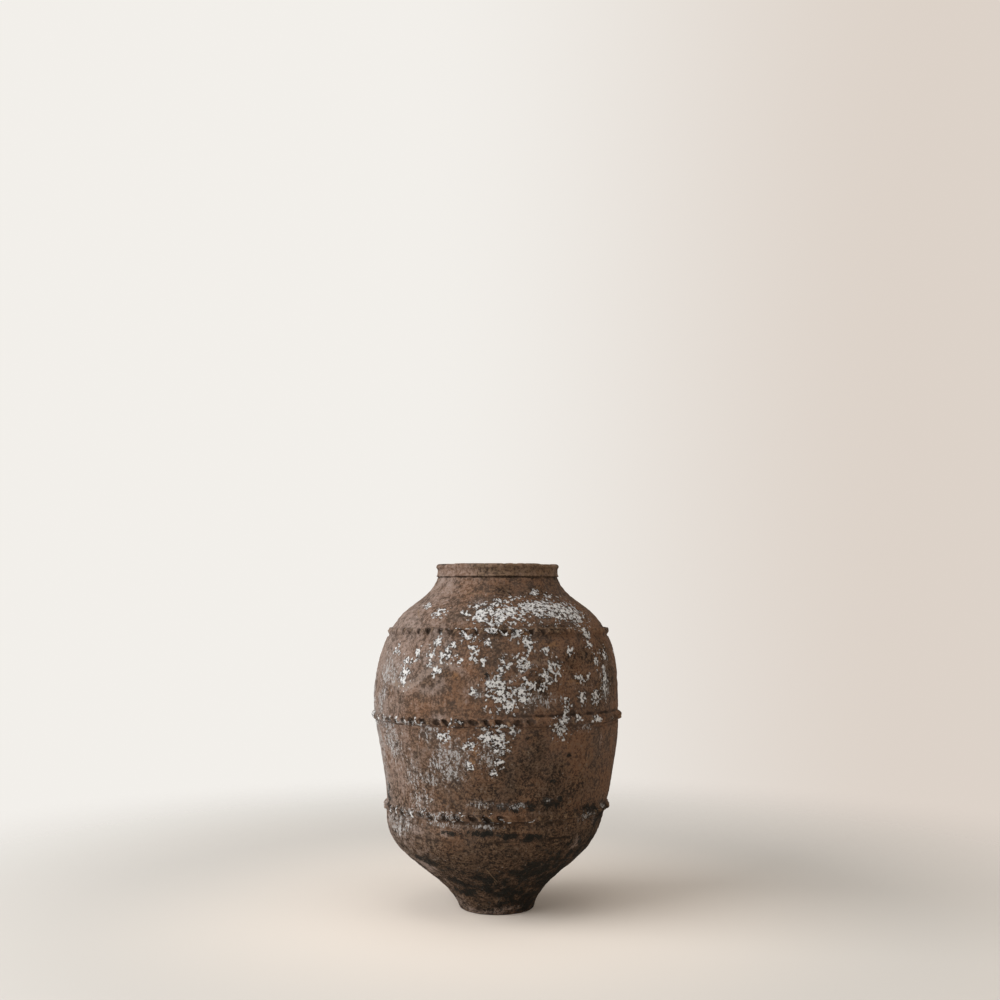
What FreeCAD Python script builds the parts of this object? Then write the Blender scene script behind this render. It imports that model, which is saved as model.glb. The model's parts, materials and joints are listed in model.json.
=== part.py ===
"""A tall earthenware oil jar, built up in tiers the way a potter raises one.

Millimetres, +Z up, origin at the centre of the foot's underside, -Y towards the front. The jar is a
foot slab, seven tiers of wall and a rim collar, each seated on a tongue along the top of the one below.
Three thumb-pressed bands lie in scored seats round the outside and cover the joins of the belly.
"""
import FreeCAD, Part

import math
import os

from FreeCAD import Vector

# --- Tiers from the ground up: height, outer radius halfway up, outer radius at the top -------------
foot_radius = 92.5

foot_slab_height = 30.0
foot_slab_middle = 97.5
foot_slab_top = 106.0

foot_wall_height = 65.0
foot_wall_middle = 133.0
foot_wall_top = 169.0

cone_height = 99.0
cone_middle = 226.5
cone_top = 262.8

bowl_height = 62.0
bowl_middle = 271.5
bowl_top = 276.0

lower_belly_height = 224.0
lower_belly_middle = 292.3
lower_belly_top = 308.7

upper_belly_height = 210.0
upper_belly_middle = 306.8
upper_belly_top = 277.0

shoulder_height = 110.0
shoulder_middle = 233.3

neck_height = 29.0

# --- Mouth, and the neck round it -----------------------------------------------------------------
mouth_radius = 130.0
neck_thickness = 24.5       # at the top of the neck
neck_flare = 4.8            # how much wider the neck is halfway down
throat_flare = 14.3         # and at its foot, where the shoulder starts
neck_radius = mouth_radius + neck_thickness

# --- Wall -----------------------------------------------------------------------------------------
wall = 20.0                 # thickness square to the surface
foot_wear = 4.0             # rounding worn on the foot's lower edge
bore_run = 17.0             # the mouth's plain cylinder reaches this far below the rim
draw_in = 62.0              # and the inside draws in to it over this height
inside_points = 24          # how many points carry the inside curve

# --- Joins between tiers --------------------------------------------------------------------------
tongue_width = 8.0
tongue_height = 7.0
tongue_draft = 1.0

# --- Rim collar -----------------------------------------------------------------------------------
rim_height = 33.0
ridge_overhang = 3.3        # the ridge stands this far out over the neck
ridge_rounding = 2.0
hollow_inset = 0.3          # the hollow round the collar lies this far inside the neck's top
lip_overhang = 3.1
bead_height = 11.0          # the rounded bead along the top
bead_undercut = 1.5
bead_bulge = 0.4
lip_rounding = 7.0
lip_inner_rounding = 7.0

# --- Bands ----------------------------------------------------------------------------------------
band_width = 27.0
band_rise = 9.0
seat_depth = 2.0
lower_band_mark_count = 50
middle_band_mark_count = 60
upper_band_mark_count = 54
lower_band_lean = 42.0      # degrees the marks lean to the left, like the strands of a rope
middle_band_lean = 38.0
upper_band_lean = 20.0
mark_radius = 10.0          # half a thumb's width
mark_depth = 6.0

GROUND = Vector(0, 0, 0)
UP = Vector(0, 0, 1)
BISECTIONS = 60


def at(radius, height):
    """A point of the half section."""
    return Vector(radius, 0, height)


def line(start, end):
    return Part.LineSegment(start, end).toShape()


def polyline(points):
    return [line(a, b) for a, b in zip(points, points[1:])]


def arc(start, middle, end):
    return Part.Arc(start, middle, end).toShape()


def quarter(start, corner, end):
    """A quarter round that cuts off a square corner."""
    centre = start + end - corner
    return arc(start, centre + (corner - centre) * math.sqrt(0.5), end)


def fair_curve(points):
    """A smooth curve through points that rise."""
    curve = Part.BSplineCurve()
    curve.interpolate(Points=points)
    return curve


def parameter_at(curve, height):
    low = curve.FirstParameter
    high = curve.LastParameter
    for _ in range(BISECTIONS):
        middle = 0.5 * (low + high)
        if curve.value(middle).z < height:
            low = middle
        else:
            high = middle
    return 0.5 * (low + high)


def radius_at(curve, height):
    return curve.value(parameter_at(curve, height)).x


def slope_at(curve, height):
    """Radius gained per millimetre of height."""
    tangent = curve.tangent(parameter_at(curve, height))[0]
    return tangent.x / tangent.z


def stretch(curve, low, high):
    """The part of a curve between two heights, as an edge."""
    return curve.toShape(parameter_at(curve, low), parameter_at(curve, high))


def lathe(edges):
    """Turns a closed half section into a solid."""
    solid = Part.Face(Part.Wire(edges)).revolve(GROUND, UP, 360)
    return solid if solid.Volume > 0 else solid.reversed()


class Tier:
    """One ring of the wall: where it starts and ends, and its outer radii."""

    def __init__(self, name, low, height, middle_radius, top_radius):
        self.name = name
        self.low = low
        self.high = low + height
        self.middle_radius = middle_radius
        self.top_radius = top_radius

    def stations(self):
        middle = 0.5 * (self.low + self.high)
        return [at(self.middle_radius, middle), at(self.top_radius, self.high)]


def stack(sizes):
    """Tiers set one on another."""
    tiers = []
    level = 0.0
    for name, height, middle_radius, top_radius in sizes:
        tiers.append(Tier(name, level, height, middle_radius, top_radius))
        level = tiers[-1].high
    return tiers


TIERS = stack([
    ("foot_slab", foot_slab_height, foot_slab_middle, foot_slab_top),
    ("foot_wall", foot_wall_height, foot_wall_middle, foot_wall_top),
    ("cone_wall", cone_height, cone_middle, cone_top),
    ("bowl_wall", bowl_height, bowl_middle, bowl_top),
    ("lower_belly_wall", lower_belly_height, lower_belly_middle, lower_belly_top),
    ("upper_belly_wall", upper_belly_height, upper_belly_middle, upper_belly_top),
    ("shoulder_wall", shoulder_height, shoulder_middle, neck_radius + throat_flare),
    ("neck_wall", neck_height, neck_radius + neck_flare, neck_radius),
])
TOP = {tier.name: tier.high for tier in TIERS}
floor_level = TOP["foot_slab"]
neck_top = TOP["neck_wall"]
bore_level = neck_top - bore_run

OUTSIDE = fair_curve([at(foot_radius, 0)] + [point for tier in TIERS for point in tier.stations()])


def inside_radius(height):
    """The wall's thickness inside the outer curve, drawn in to the mouth near the top."""
    plain = radius_at(OUTSIDE, height) - wall * math.hypot(1, slope_at(OUTSIDE, height))
    share = min(1.0, max(0.0, 1 - (bore_level - height) / draw_in))
    ease = share * share * (3 - 2 * share)
    return plain + (mouth_radius - plain) * ease


def inside_curve():
    rise = (bore_level - floor_level) / inside_points
    heights = [floor_level + rise * i for i in range(inside_points + 1)]
    return fair_curve([at(inside_radius(height), height) for height in heights])


INSIDE = inside_curve()


def bore_at(height):
    """Inner radius at a height."""
    return mouth_radius if height >= bore_level else radius_at(INSIDE, height)


class Band:
    """A thumb-pressed strip over a join, and the seat scored for it in the wall."""

    def __init__(self, height, mark_count, lean):
        self.height = height
        self.mark_count = mark_count
        self.lean = math.radians(lean)
        self.slope = slope_at(OUTSIDE, height)
        half = 0.5 * band_width / math.hypot(1, self.slope)
        self.low = height - half
        self.high = height + half
        self.low_edge = at(radius_at(OUTSIDE, self.low), self.low)
        self.high_edge = at(radius_at(OUTSIDE, self.high), self.high)
        self.low_seat = self.low_edge - at(seat_depth, 0)
        self.high_seat = self.high_edge - at(seat_depth, 0)
        self.join = (self.low_seat + self.high_seat) * 0.5

    def outward(self):
        return at(1, -self.slope).normalize()

    def crest(self):
        return (self.low_edge + self.high_edge) * 0.5 + self.outward() * band_rise

    def strip(self):
        """The plain half-round strip, before the thumb marks."""
        back = [self.high_edge, self.high_seat, self.low_seat, self.low_edge]
        return lathe([arc(self.low_edge, self.crest(), self.high_edge)] + polyline(back))

    def thumb(self):
        """A rod that lies across the strip and leans over, as far in as a mark is deep."""
        up_the_wall = at(self.slope, 1).normalize()
        to_the_left = Vector(0, -1, 0)
        direction = up_the_wall * math.cos(self.lean) + to_the_left * math.sin(self.lean)
        centre = self.crest() + self.outward() * (mark_radius - mark_depth)
        start = centre - direction * band_width
        return Part.makeCylinder(mark_radius, 2 * band_width, start, direction)

    def solid(self):
        pitch = 360.0 / self.mark_count
        thumbs = []
        for i in range(self.mark_count):
            thumb = self.thumb()
            thumb.rotate(GROUND, UP, (i + 0.5) * pitch)
            thumbs.append(thumb)
        return self.strip().cut(thumbs)


BANDS = {
    "lower_band": Band(TOP["bowl_wall"], lower_band_mark_count, lower_band_lean),
    "middle_band": Band(TOP["lower_belly_wall"], middle_band_mark_count, middle_band_lean),
    "upper_band": Band(TOP["upper_belly_wall"], upper_band_mark_count, upper_band_lean),
}


def band_over(height):
    """The band that covers the join at this height, or None."""
    return next((band for band in BANDS.values() if band.height == height), None)


def join_points(height):
    """Across the wall from outside to inside, over the tongue that the next tier sits on."""
    band = band_over(height)
    outer = band.join.x if band else radius_at(OUTSIDE, height)
    inner = bore_at(height)
    tip = height + tongue_height
    root_middle = 0.5 * (outer + inner)
    tip_middle = root_middle
    if tip < neck_top:
        tip_middle = 0.5 * (radius_at(OUTSIDE, tip) + bore_at(tip))
    half_root = 0.5 * tongue_width
    half_tip = half_root - tongue_draft
    return [
        at(outer, height),
        at(root_middle + half_root, height),
        at(tip_middle + half_tip, tip),
        at(tip_middle - half_tip, tip),
        at(root_middle - half_root, height),
        at(inner, height),
    ]


def outer_edges(low, high):
    """The outside of one tier going up, with half a band's seat at an end that a band covers."""
    below = band_over(low)
    above = band_over(high)
    edges = []
    start = low
    end = high
    if below:
        edges += polyline([below.join, below.high_seat, below.high_edge])
        start = below.high
    if above:
        end = above.low
    edges.append(stretch(OUTSIDE, start, end))
    if above:
        edges += polyline([above.low_edge, above.low_seat, above.join])
    return edges


def inner_edges(low, high):
    """The inside of one tier going down."""
    edges = []
    if high > bore_level:
        edges.append(line(at(mouth_radius, high), at(mouth_radius, max(low, bore_level))))
    if low < bore_level:
        edges.append(stretch(INSIDE, low, min(high, bore_level)))
    return edges


def wall_ring(tier):
    """One tier of wall, grooved below to sit on the last and tongued above to carry the next."""
    edges = outer_edges(tier.low, tier.high)
    edges += polyline(join_points(tier.high))
    edges += inner_edges(tier.low, tier.high)
    edges += polyline(join_points(tier.low)[::-1])
    return lathe(edges)


def foot_slab():
    """The flat clay disc that the jar stands on. Its top is the floor inside."""
    side = at(radius_at(OUTSIDE, foot_wear), foot_wear)
    corner = at(side.x, 0)
    bottom = at(side.x - foot_wear, 0)
    edges = [
        line(GROUND, bottom),
        quarter(bottom, corner, side),
        stretch(OUTSIDE, foot_wear, floor_level),
    ]
    edges += polyline(join_points(floor_level) + [at(0, floor_level), GROUND])
    return lathe(edges)


def rim_collar():
    """The rim: an overhanging ridge, a hollow collar and a rounded lip."""
    top = neck_top + rim_height
    ridge_radius = neck_radius + ridge_overhang
    lip_radius = neck_radius + lip_overhang
    ridge_level = neck_top + ridge_rounding
    bead_level = top - bead_height
    lip_level = top - lip_rounding
    under_ridge = at(ridge_radius - ridge_rounding, neck_top)
    ridge = at(ridge_radius, ridge_level)
    hollow = at(neck_radius - hollow_inset, 0.5 * (ridge_level + bead_level))
    bead = at(lip_radius - bead_undercut, bead_level)
    lip = at(lip_radius, lip_level)
    brow = (bead + lip) * 0.5 + at(bead_bulge, 0)
    lip_top = at(lip_radius - lip_rounding, top)
    inner_top = at(mouth_radius + lip_inner_rounding, top)
    inner_lip = at(mouth_radius, top - lip_inner_rounding)
    edges = [
        line(at(neck_radius, neck_top), under_ridge),
        quarter(under_ridge, at(ridge_radius, neck_top), ridge),
        arc(ridge, hollow, bead),
        arc(bead, brow, lip),
        quarter(lip, at(lip_radius, top), lip_top),
        line(lip_top, inner_top),
        quarter(inner_top, at(mouth_radius, top), inner_lip),
        line(inner_lip, at(mouth_radius, neck_top)),
    ]
    edges += polyline(join_points(neck_top)[::-1])
    return lathe(edges)


def write(name, shape):
    if not shape.isValid():
        raise ValueError(name + " is not a valid solid")
    shape.exportStep("parts/" + name + ".step")
    print(name, "solids", len(shape.Solids), "volume", round(shape.Volume / 1000.0, 1), "cm3")


def main():
    os.makedirs("parts", exist_ok=True)
    write("foot_slab", foot_slab())
    for tier in TIERS[1:]:
        write(tier.name, wall_ring(tier))
    write("rim_collar", rim_collar())
    for name, band in BANDS.items():
        write(name, band.solid())


main()
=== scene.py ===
import json
import math

import bpy
import numpy as np
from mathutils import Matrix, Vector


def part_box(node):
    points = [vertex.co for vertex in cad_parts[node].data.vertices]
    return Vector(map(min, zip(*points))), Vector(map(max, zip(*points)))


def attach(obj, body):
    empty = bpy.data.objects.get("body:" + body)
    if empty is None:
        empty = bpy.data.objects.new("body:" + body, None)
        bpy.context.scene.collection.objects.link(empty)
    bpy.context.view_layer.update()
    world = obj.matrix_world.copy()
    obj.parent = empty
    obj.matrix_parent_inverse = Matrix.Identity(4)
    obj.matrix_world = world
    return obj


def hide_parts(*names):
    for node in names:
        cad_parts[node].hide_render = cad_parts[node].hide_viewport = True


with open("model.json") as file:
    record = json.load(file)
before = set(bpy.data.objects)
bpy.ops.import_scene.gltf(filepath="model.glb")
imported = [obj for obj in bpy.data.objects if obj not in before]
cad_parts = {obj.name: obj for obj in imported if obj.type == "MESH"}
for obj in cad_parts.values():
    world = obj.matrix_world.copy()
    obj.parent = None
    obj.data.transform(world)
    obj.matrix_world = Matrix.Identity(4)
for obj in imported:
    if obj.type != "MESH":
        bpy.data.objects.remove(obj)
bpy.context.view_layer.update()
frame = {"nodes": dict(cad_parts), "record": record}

MM = 0.001
DEGREE = math.pi / 180

# The jar is turned about Z. An azimuth is in degrees from the front, -Y, and grows to the right.
# Lengths below are in millimetres, unless a name says otherwise.

# --- How the jar was made -------------------------------------------------------------------------
TIER_FINISHES = {
    "foot_slab": "sooty_clay",
    "foot_wall": "sooty_clay",
    "cone_wall": "sooty_clay",
    "bowl_wall": "stained_clay",
    "lower_belly_wall": "stained_clay",
    "upper_belly_wall": "limewashed_clay",
    "shoulder_wall": "limewashed_clay",
    "neck_wall": "rim_clay",
    "rim_collar": "rim_clay",
}
TONGUE = 7.0                # each tier's tongue stands this high in the groove of the next
TURNS = 720                 # steps round a tier
DOUBLINGS = 4               # a sixteenth is spun, and doubled this often
SKIN_STEP = 2.6             # spacing of the rings up the outside,
RIM_STEP = 1.4              # on the collar's outside,
INSIDE_STEP = 13.0          # up the inside
JOINT_STEP = 40.0           # and on the faces that meet the next tier
CORNER = 38 * DEGREE        # a sharper turn of the outline is a corner
CLOSE = 0.5                 # nearer than this counts as the same height or radius
TOUCHING = 0.05             # and this close, points touch
DOUBLE = 0.02               # points of an outline that are closer than this are one
ROWS_APART = 0.4            # the wall's outline keeps points at least this far apart in height
MERGE = 1e-5                # doubles this close are merged, in metres
LIP_RADIUS = 155.0          # of the edge that chips
LIP_DEPTH = 20.0            # the collar's outside reaches at least this far down into the mouth
LIP_FADE = (8.0, 14.0)      # and the wear on it ends between these depths

# How far the hand-built wall stands off its turning axis, as height: shift to the right.
DRIFT = {0: -1, 100: -7, 200: -11, 290: 0, 400: 2, 540: -5, 680: 1, 760: 0, 862: 0}

# The wave drawn round the upper belly with a finger.
WAVES = 8
WAVE_CREST = -23.9          # azimuth of one crest
WAVE_HEIGHT = 596.0
WAVE_RISE = 29.0            # crest above the middle line
FINGER = 9.0                # half the groove's width
FINGER_DEPTH = 1.9

WHEEL_STEP = 13.0           # from one throwing line to the next
KNEE = 207.0                # height of the step over the cone

# The collar's dust and wear set in between two heights, where the wall's dark stains and painted
# shade end.
ON_THE_COLLAR = (815, 835)
STAINS_END = (815, 830)
COLLAR_FRONT = (-50, -10, 60, 120)      # they start, are full, fade and end at these azimuths


class Band:
    """A strip of clay round the wall, pressed with a thumb all the way round."""

    def __init__(self, node, marks, lean, rise, half_width, half_height, flare, lift, fading):
        self.node = node
        self.marks = marks              # how many marks go round
        self.lean = lean * DEGREE       # they lean to the left, like the strands of a rope
        self.rise = rise                # how far the strip stands out from the wall
        self.half_width = half_width    # of one mark
        self.half_height = half_height
        self.flare = flare              # how much wider a mark is towards its top
        self.lift = lift                # the strip was laid this much higher in front
        self.fading = fading            # from this azimuth on, the marks are worn
        self.limed = node != "upper_band"   # limewash clings to its ridges
        low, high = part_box(node)
        self.low = low.z / MM
        self.high = high.z / MM
        self.width = self.high - self.low
        self.middle = 0.5 * (self.low + self.high)

    def raised(self, azimuth):
        """How much higher than level the strip lies."""
        return self.lift * (0.5 + 0.5 * np.cos(azimuth * DEGREE)) ** 2


BAND_STEPS = 1440
BAND_ROWS = 24
BAND_SEAT = 4.0             # the strip's back lies this deep under the wall's skin
BAND_FEET = 0.6             # its feet are smeared to this depth
BANDS = (
    Band("lower_band", marks=50, lean=34, rise=9.4, half_width=13.0, half_height=12.5,
         flare=0.1, lift=11.0, fading=-2),
    Band("middle_band", marks=60, lean=26, rise=8.6, half_width=12.0, half_height=12.0,
         flare=0.1, lift=8.5, fading=6),
    Band("upper_band", marks=54, lean=8, rise=7.2, half_width=8.5, half_height=14.0,
         flare=0.5, lift=8.0, fading=18),
)

# --- What age has left on it ----------------------------------------------------------------------
# Each patch is the azimuth and the height of its middle, half its width and half its height. The
# lists run down the jar.

# Limewash that still clings.
LIME = (
    # shoulder
    (31, 789, 10, 6), (0, 768, 12, 7), (33, 762, 20, 9), (20, 760, 18, 9), (-14, 758, 12, 8),
    (-51, 757, 12, 5), (27, 752, 30, 19), (36, 748, 34, 14), (38, 746, 36, 22),
    (-36, 742, 14, 7), (-18, 741, 8, 5), (7, 741, 30, 20), (50, 738, 34, 21), (-9, 736, 18, 15),
    (-1, 734, 28, 24), (-4, 724, 20, 9), (-4, 701, 14, 10),
    # upper belly
    (9, 692, 15, 8), (-17, 690, 10, 6), (50, 690, 10, 12), (-13, 682, 15, 7), (14, 676, 12, 15),
    (-30, 672, 9, 10), (-5, 672, 9, 9), (-22, 668, 9, 8), (50, 663, 9, 8), (-11, 662, 12, 6),
    (14, 661, 9, 8), (23, 653, 8, 6), (-57, 650, 11, 9), (-40, 650, 7, 10), (36, 650, 7, 7),
    (-24, 645, 15, 12), (-32, 643, 8, 15), (-11, 642, 8, 9), (61, 640, 10, 12), (-18, 628, 9, 5),
    (-6, 626, 5, 12), (-46, 625, 15, 10), (53, 625, 9, 11), (12, 622, 14, 18), (3, 618, 11, 14),
    (27, 614, 17, 15), (-28, 608, 8, 9), (22, 598, 14, 13), (-46, 596, 12, 24), (13, 592, 7, 8),
    (24, 588, 16, 10), (43, 588, 14, 7), (4, 582, 9, 14), (59, 580, 9, 26), (0, 578, 20, 16),
    (4, 576, 8, 10), (16, 574, 10, 10), (21, 568, 8, 8), (-9, 560, 9, 8), (3, 557, 26, 26),
    (12, 555, 11, 20), (51, 541, 13, 16), (42, 537, 8, 15), (6, 532, 17, 14), (33, 525, 9, 16),
    (39, 493, 6, 8), (31, 492, 14, 7), (50, 488, 12, 6),
    # lower belly
    (3, 481, 9, 4), (-5, 475, 6, 4), (7, 468, 9, 9), (29, 468, 16, 12), (-24, 459, 11, 10),
    (-4, 458, 18, 10), (0, 450, 20, 18), (-12, 440, 12, 9), (2, 432, 8, 10), (0, 399, 11, 8),
    (-13, 391, 9, 9), (-2, 374, 8, 6),
)
LIME_ROUND_THE_BACK = 44    # patches that fall anywhere on the far side

# Pale salt bloom.
SALT = (
    (-60, 600, 60, 50), (-78, 560, 14, 50), (60, 560, 26, 50), (-8, 556, 22, 12),
    (-62, 548, 22, 24), (20, 540, 60, 20), (-66, 520, 22, 46), (-60, 488, 40, 7),
    (65, 483, 14, 8), (-44, 480, 44, 8), (-62, 470, 60, 26), (-30, 470, 30, 8),
    (44, 470, 30, 14), (-33, 466, 26, 18), (-34, 450, 22, 14), (-58, 430, 60, 60),
    (-74, 420, 40, 90), (-4, 420, 30, 50), (-20, 410, 50, 48), (-24, 400, 40, 50),
    (-30, 385, 22, 24), (-22, 372, 40, 30), (-34, 352, 36, 20), (-44, 350, 34, 40),
    (-76, 330, 30, 60), (25, 305, 14, 7), (-40, 300, 40, 30), (-8, 300, 40, 12), (2, 297, 16, 9),
    (9, 296, 32, 10), (-47, 268, 50, 10), (-25, 268, 60, 12), (68, 268, 18, 12),
    (52, 255, 30, 14), (-28, 247, 50, 10), (-6, 247, 40, 7), (-52, 238, 50, 24),
    (-66, 236, 50, 22), (-58, 222, 60, 24),
)
# Black and green growth.
GROWTH = (
    (-4, 597, 7, 7), (13, 452, 7, 6), (34, 408, 8, 5), (26, 350, 10, 6), (27, 300, 34, 16),
    (-73, 298, 22, 20), (9, 292, 44, 14), (54, 268, 50, 22), (-74, 262, 10, 16),
    (-4, 262, 16, 8), (64, 255, 24, 12), (70, 250, 40, 30), (-6, 230, 40, 8), (-20, 228, 30, 6),
    (8, 222, 20, 8), (20, 216, 30, 10), (-45, 150, 44, 16), (34, 130, 46, 34), (24, 122, 50, 34),
    (24, 105, 26, 22), (-4, 100, 44, 34), (55, 90, 60, 60), (-30, 80, 40, 30), (12, 62, 50, 24),
    (20, 30, 60, 14), (50, 30, 50, 40),
)
# Grey dust that the wall has kept.
DUSTY = (
    (31, 790, 16, 8), (-12, 768, 20, 12), (34, 762, 24, 12), (-30, 690, 30, 14),
    (-24, 668, 12, 16), (-34, 640, 16, 20), (-25, 575, 24, 26), (-30, 560, 30, 14),
    (-12, 560, 20, 24), (-12, 540, 10, 12), (-60, 520, 16, 40), (-26, 500, 22, 12),
    (55, 436, 12, 24), (3, 294, 14, 8), (66, 270, 16, 20), (-36, 262, 22, 10),
    (-18, 244, 20, 14), (62, 236, 18, 18), (-43, 226, 22, 12), (-24, 224, 22, 9),
    (50, 190, 22, 20), (-50, 132, 30, 18), (-60, 20, 40, 24), (20, 18, 60, 8), (-20, 8, 80, 12),
)
# Where the clay is darker: soaked in oil, or stained under the arches of the wave.
STAINS = (
    (5, 795, 30, 20), (35, 790, 50, 20), (0, 700, 40, 16), (30, 700, 60, 20), (45, 640, 60, 30),
    (62, 640, 40, 60), (36, 625, 34, 40), (42, 585, 34, 20), (20, 560, 30, 30),
    (60, 560, 60, 40), (0, 440, 60, 40), (18, 425, 30, 60), (0, 380, 50, 50), (14, 380, 70, 60),
    (28, 370, 50, 50), (8, 333, 50, 70), (-5, 330, 70, 40), (40, 330, 80, 40), (-6, 303, 30, 16),
    (-12, 300, 20, 14), (-5, 285, 40, 16), (35, 254, 40, 30), (5, 240, 70, 34), (0, 205, 60, 26),
    (21, 132, 60, 34), (45, 110, 60, 60), (0, 85, 70, 40), (40, 60, 50, 60), (26, 55, 60, 40),
)
# Bare orange clay where the surface has chipped.
ORANGE = (
    (-38, 745, 16, 10), (14, 690, 20, 8), (26, 668, 34, 12), (-18, 597, 14, 12),
    (36, 581, 22, 8), (40, 575, 14, 6), (18, 500, 12, 8), (29, 466, 16, 10), (-10, 420, 12, 16),
    (-12, 396, 16, 18),
)
# Scratches: from azimuth and height to azimuth and height.
SCRATCHES = (
    (48, 402, 43, 366), (43, 366, 38, 324), (-4, 136, 1, 98), (-26, 791, -12, 784),
    (0, 102, 1, 92), (-58, 748, -50, 730),
)


# --- Noise ----------------------------------------------------------------------------------------
def scatter(*whole, seed):
    """A number from 0 to 1 for each set of whole numbers, the same every time."""
    mixed = np.int64(seed) * 1013904223
    for number, prime in zip(whole, (73856093, 19349663, 83492791)):
        mixed = mixed ^ (np.asarray(number).astype(np.int64) * prime)
    mixed = mixed & 0xFFFFFFFF
    for _ in range(2):
        mixed = ((mixed ^ (mixed >> 15)) * 739988443) & 0xFFFFFFFF
    return ((mixed ^ (mixed >> 13)) & 0xFFFFFF) / float(0xFFFFFF)


TILT = np.array(((0.62, 0.54, 0.57), (-0.71, 0.70, 0.11), (-0.34, -0.47, 0.81)))


def noise(points, size, seed):
    """Soft lumps of about the given size, from -1 to 1."""
    spot = points @ TILT.T / size + seed * 7.31
    cell = np.floor(spot)
    part = spot - cell
    ease = part * part * part * (part * (part * 6 - 15) + 10)
    total = 0
    for corner in range(8):
        step = ((corner >> 2) & 1, (corner >> 1) & 1, corner & 1)
        weight = 1
        for axis in range(3):
            weight = weight * (ease[:, axis] if step[axis] else 1 - ease[:, axis])
        at = [cell[:, axis] + step[axis] for axis in range(3)]
        total = total + weight * scatter(*at, seed=seed)
    return 2 * total - 1


def smooth(low, high, value):
    """0 below low, 1 above high, and an easy slope between them."""
    share = np.clip((value - low) / (high - low), 0, 1)
    return share * share * (3 - 2 * share)


def within(value, start, full, fading, gone):
    """1 between full and fading, 0 outside start and gone."""
    return smooth(start, full, value) * (1 - smooth(fading, gone, value))


def peak(value, middle, width):
    """1 at the middle, falling off softly to both sides."""
    return np.exp(-((value - middle) / width) ** 2)


def curve(knots, values, at):
    """The smooth curve that passes through the values at the knots."""
    slope = np.gradient(values, knots, axis=0)
    i = np.clip(np.searchsorted(knots, at, side="right") - 1, 0, len(knots) - 2)
    gap = knots[i + 1] - knots[i]
    s = np.clip((at - knots[i]) / gap, 0, 1)
    if values.ndim > 1:
        gap = gap[:, None]
        s = s[:, None]
    return ((1 + 2 * s) * (1 - s) ** 2 * values[i] + s * (1 - s) ** 2 * gap * slope[i]
            + s * s * (3 - 2 * s) * values[i + 1] + s * s * (s - 1) * gap * slope[i + 1])


# --- The outline of the CAD pieces ----------------------------------------------------------------
def open_mesh(piece):
    """Puts one piece alone into edit mode, all of it selected."""
    bpy.ops.object.select_all(action="DESELECT")
    piece.select_set(True)
    bpy.context.view_layer.objects.active = piece
    bpy.ops.object.mode_set(mode="EDIT")
    bpy.ops.mesh.select_all(action="SELECT")


def close_mesh():
    """Leaves edit mode."""
    bpy.ops.object.mode_set(mode="OBJECT")


def half_section(node):
    """The cut through one side of a turned CAD piece, as a chain of (radius, height)."""
    cut = bpy.data.objects.new("cut", frame["nodes"][node].data.copy())
    bpy.context.scene.collection.objects.link(cut)
    open_mesh(cut)
    bpy.ops.mesh.remove_doubles(threshold=0.1 * MERGE)
    bpy.ops.mesh.bisect(plane_co=(0, 0, 0), plane_no=(0, 1, 0), clear_inner=True, clear_outer=True)
    bpy.ops.mesh.select_all(action="SELECT")
    bpy.ops.mesh.bisect(plane_co=(0, 0, 0), plane_no=(1, 0, 0), clear_inner=True)
    bpy.ops.mesh.select_all(action="SELECT")
    bpy.ops.mesh.remove_doubles(threshold=MERGE)
    close_mesh()
    points = [(v.co.x / MM, v.co.z / MM) for v in cut.data.vertices]
    beside = {i: [] for i in range(len(points))}
    for edge in cut.data.edges:
        a, b = edge.vertices
        beside[a].append(b)
        beside[b].append(a)
    mesh = cut.data
    bpy.data.objects.remove(cut)
    bpy.data.meshes.remove(mesh)

    lowest = min(height for _, height in points)
    foot = [i for i, (_, height) in enumerate(points) if height < lowest + TOUCHING]
    on_axis = [i for i in foot if points[i][0] < TOUCHING]
    if on_axis:
        start = on_axis[0]
    else:
        start = max(foot, key=lambda i: points[i][0])
    chain = [start, max(beside[start], key=lambda i: points[i][1])]
    while True:
        onward = [i for i in beside[chain[-1]] if i != chain[-2]]
        if not onward or onward[0] == start:
            break
        chain.append(onward[0])
    return np.array([points[i] for i in chain]), not on_axis


def runs_between_corners(chain, closed):
    """Splits a chain where it turns sharply."""
    if closed:
        chain = np.vstack((chain, chain[:1]))
    along = np.diff(chain, axis=0)
    heading = np.arctan2(along[:, 1], along[:, 0])
    turn = np.abs((np.diff(heading) + math.pi) % math.tau - math.pi)
    breaks = [0] + [i + 1 for i in np.flatnonzero(turn > CORNER)] + [len(chain) - 1]
    return [chain[a:b + 1] for a, b in zip(breaks, breaks[1:])]


def evened(run, step):
    """Evenly spaced points on the smooth curve through a run's points."""
    gaps = np.hypot(*np.diff(run, axis=0).T)
    run = run[np.append(True, gaps > DOUBLE)]
    reach = np.append(0, np.cumsum(np.hypot(*np.diff(run, axis=0).T)))
    count = max(1, round(reach[-1] / step))
    at = np.linspace(0, reach[-1], count + 1)
    if len(run) < 3:
        return np.column_stack([np.interp(at, reach, run[:, k]) for k in (0, 1)])
    return curve(reach, run, at)


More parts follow.
